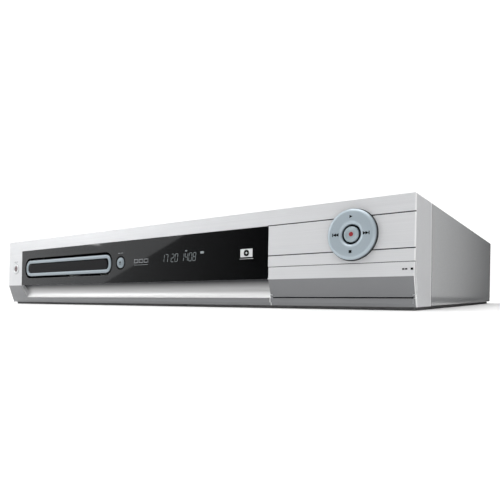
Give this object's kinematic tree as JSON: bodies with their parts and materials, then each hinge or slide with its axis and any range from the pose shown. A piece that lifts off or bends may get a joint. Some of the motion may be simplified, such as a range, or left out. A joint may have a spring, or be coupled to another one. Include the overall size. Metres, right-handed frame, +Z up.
{
  "type": "disc recorder with tray",
  "caption": "Wide flat video disc recorder with sliding disc tray, smoked window, tilting ring control, drop-down socket flap and rear sockets.",
  "frame": {"origin": "on the table, under the middle of the whole part's bounding box", "axes": "+X right seen from the front, +Y to the back, +Z up; the front faces -Y"},
  "size_m": [0.43, 0.3136, 0.0658],
  "materials": {
    "silver": "satin silver paint with a fine brushed grain",
    "smoked_acrylic": "polished smoked acrylic",
    "pale_silver": "satin pale blue silver",
    "dark_bar": "dark grey satin",
    "red_key": "pale blue silver with a red dot",
    "black_plastic": "fine texture",
    "ivory_plastic": "plain moulded",
    "steel_cover": "silver grey paint",
    "zinc_steel": "zinc plated",
    "rubber": "matt black",
    "screw_steel": "zinc plated",
    "circuit_board": "green lacquer",
    "display_glass": "dark glass tube",
    "bright_nickel": "nickel plated",
    "cast_alloy": "cast and bare",
    "gear_plastic": "white acetal",
    "lens": "coated lens",
    "capacitor_sleeve": "shrink sleeve"
  },
  "bodies": {
    "casing": {"front_panel": "silver", "window_lens": "smoked_acrylic", "tact_switches": "black_plastic", "power_key_board": "circuit_board", "display_tube": "display_glass", "front_board": "circuit_board", "av_socket_plate": "black_plastic", "front_rca_jacks": "bright_nickel", "front_svideo_jack": "black_plastic", "front_dv_jack": "bright_nickel", "av_board": "circuit_board", "base_pan": "zinc_steel", "feet": "rubber", "top_cover": "steel_cover", "cover_screws": "screw_steel", "chassis_screws": "screw_steel", "rear_panel": "zinc_steel", "scart_sockets": "black_plastic", "rear_rca_jacks": "bright_nickel", "rear_svideo_jack": "black_plastic", "optical_socket": "black_plastic", "tuner_module": "bright_nickel", "ac_inlet": "black_plastic", "fan_frame": "black_plastic", "loader_frame": "black_plastic", "loading_motor": "zinc_steel", "loading_belt": "rubber", "clamp_bridge": "zinc_steel", "hard_drive": "cast_alloy", "drive_cradle": "zinc_steel", "main_board": "circuit_board", "power_board": "circuit_board", "io_board": "circuit_board", "processor_heatsink": "cast_alloy", "power_transformer": "zinc_steel", "power_capacitors": "capacitor_sleeve"},
    "tray": {"disc_tray": "black_plastic", "tray_door_frame": "pale_silver", "tray_door_insert": "dark_bar", "tray_front_seal": "black_plastic"},
    "tray_gear": {"tray_gear": "gear_plastic"},
    "pulley_gear": {"pulley_gear": "gear_plastic"},
    "motor_pulley": {"motor_pulley": "gear_plastic"},
    "lift_slider": {"lift_slider": "gear_plastic"},
    "traverse": {"traverse_frame": "zinc_steel", "guide_rods": "bright_nickel", "spindle_motor": "zinc_steel", "sled_motor": "zinc_steel"},
    "turntable": {"turntable": "black_plastic"},
    "clamp": {"clamp_puck": "ivory_plastic"},
    "sled": {"pickup_sled": "cast_alloy", "pickup_lens": "lens"},
    "lead_screw": {"lead_screw": "bright_nickel"},
    "av_door": {"front_av_door": "silver"},
    "power_button": {"power_button": "pale_silver"},
    "eject_button": {"eject_button": "pale_silver"},
    "record_button": {"record_button": "red_key"},
    "dial_carrier": {"dial_carrier": "ivory_plastic"},
    "dial_ring": {"dial_ring": "pale_silver"},
    "fan_rotor": {"fan_rotor": "black_plastic"}
  },
  "joints": [
    {"name": "tray_slide", "type": "slide", "parent": "casing", "child": "tray", "axis": [0, -1, 0], "range_m": [0, 0.137]},
    {"name": "tray_gear_spin", "type": "hinge", "parent": "casing", "child": "tray_gear", "pos_m": [-0.0768, -0.12366, 0.025], "axis": [0, 0, 1], "range_deg": [-655, 0]},
    {"name": "pulley_gear_spin", "type": "hinge", "parent": "casing", "child": "pulley_gear", "pos_m": [-0.0948, -0.12366, 0.02], "axis": [0, 0, 1], "range_deg": [0, 1310]},
    {"name": "motor_pulley_spin", "type": "hinge", "parent": "casing", "child": "motor_pulley", "pos_m": [-0.1328, -0.12366, 0.018], "axis": [0, 0, 1], "range_deg": [0, 4800]},
    {"name": "traverse_lift", "type": "hinge", "parent": "casing", "child": "traverse", "pos_m": [-0.1128, 0.01834, 0.019], "axis": [-1, 0, 0], "range_deg": [0, 5.6]},
    {"name": "lift_slide", "type": "slide", "parent": "casing", "child": "lift_slider", "axis": [1, 0, 0], "range_m": [0, 0.016]},
    {"name": "turntable_spin", "type": "hinge", "parent": "traverse", "child": "turntable", "pos_m": [-0.1128, -0.08265, 0.02417], "axis": [0, -0.0976, 0.9952], "continuous": true},
    {"name": "clamp_spin", "type": "hinge", "parent": "casing", "child": "clamp", "pos_m": [-0.1128, -0.08166, 0.042], "axis": [0, 0, 1], "continuous": true},
    {"name": "sled_slide", "type": "slide", "parent": "traverse", "child": "sled", "axis": [0, 0.9952, 0.0976], "range_m": [0, 0.036]},
    {"name": "lead_screw_spin", "type": "hinge", "parent": "traverse", "child": "lead_screw", "pos_m": [-0.0788, -0.02198, 0.02027], "axis": [0, 0.9952, 0.0976], "range_deg": [0, 4325]},
    {"name": "av_door_swing", "type": "hinge", "parent": "casing", "child": "av_door", "pos_m": [0.165, -0.14933, 0.00868], "axis": [1, 0, 0], "range_deg": [0, 85]},
    {"name": "power_push", "type": "slide", "parent": "casing", "child": "power_button", "axis": [0, 0.9993, -0.0375], "range_m": [0, 0.0008], "stiffness_N_per_m": 1800},
    {"name": "eject_push", "type": "slide", "parent": "casing", "child": "eject_button", "axis": [0, 0.9993, -0.0375], "range_m": [0, 0.0008], "stiffness_N_per_m": 1800},
    {"name": "record_push", "type": "slide", "parent": "casing", "child": "record_button", "axis": [0, 0.9993, -0.0375], "range_m": [0, 0.0008], "stiffness_N_per_m": 1800},
    {"name": "dial_tilt_up_down", "type": "hinge", "parent": "casing", "child": "dial_carrier", "pos_m": [0.1781, -0.14611, 0.04463], "axis": [1, 0, 0], "range_deg": [-2, 2], "stiffness_Nm_per_rad": 0.6},
    {"name": "dial_tilt_left_right", "type": "hinge", "parent": "dial_carrier", "child": "dial_ring", "pos_m": [0.1781, -0.14611, 0.04463], "axis": [0, 0.0375, 0.9993], "range_deg": [-2, 2], "stiffness_Nm_per_rad": 0.6},
    {"name": "fan_spin", "type": "hinge", "parent": "casing", "child": "fan_rotor", "pos_m": [0.172, 0.14084, 0.036], "axis": [0, 1, 0], "continuous": true}
  ],
  "couplings": [
    {"joint": "tray_gear_spin", "follows": "tray_slide", "rad_per_m": -83.333},
    {"joint": "pulley_gear_spin", "follows": "tray_slide", "rad_per_m": 166.67},
    {"joint": "motor_pulley_spin", "follows": "tray_slide", "rad_per_m": 611.11},
    {"joint": "lift_slide", "follows": "traverse_lift", "m_per_rad": 0.1637},
    {"joint": "clamp_spin", "follows": "turntable_spin", "ratio": 1},
    {"joint": "lead_screw_spin", "follows": "sled_slide", "rad_per_m": 2094.4}
  ]
}
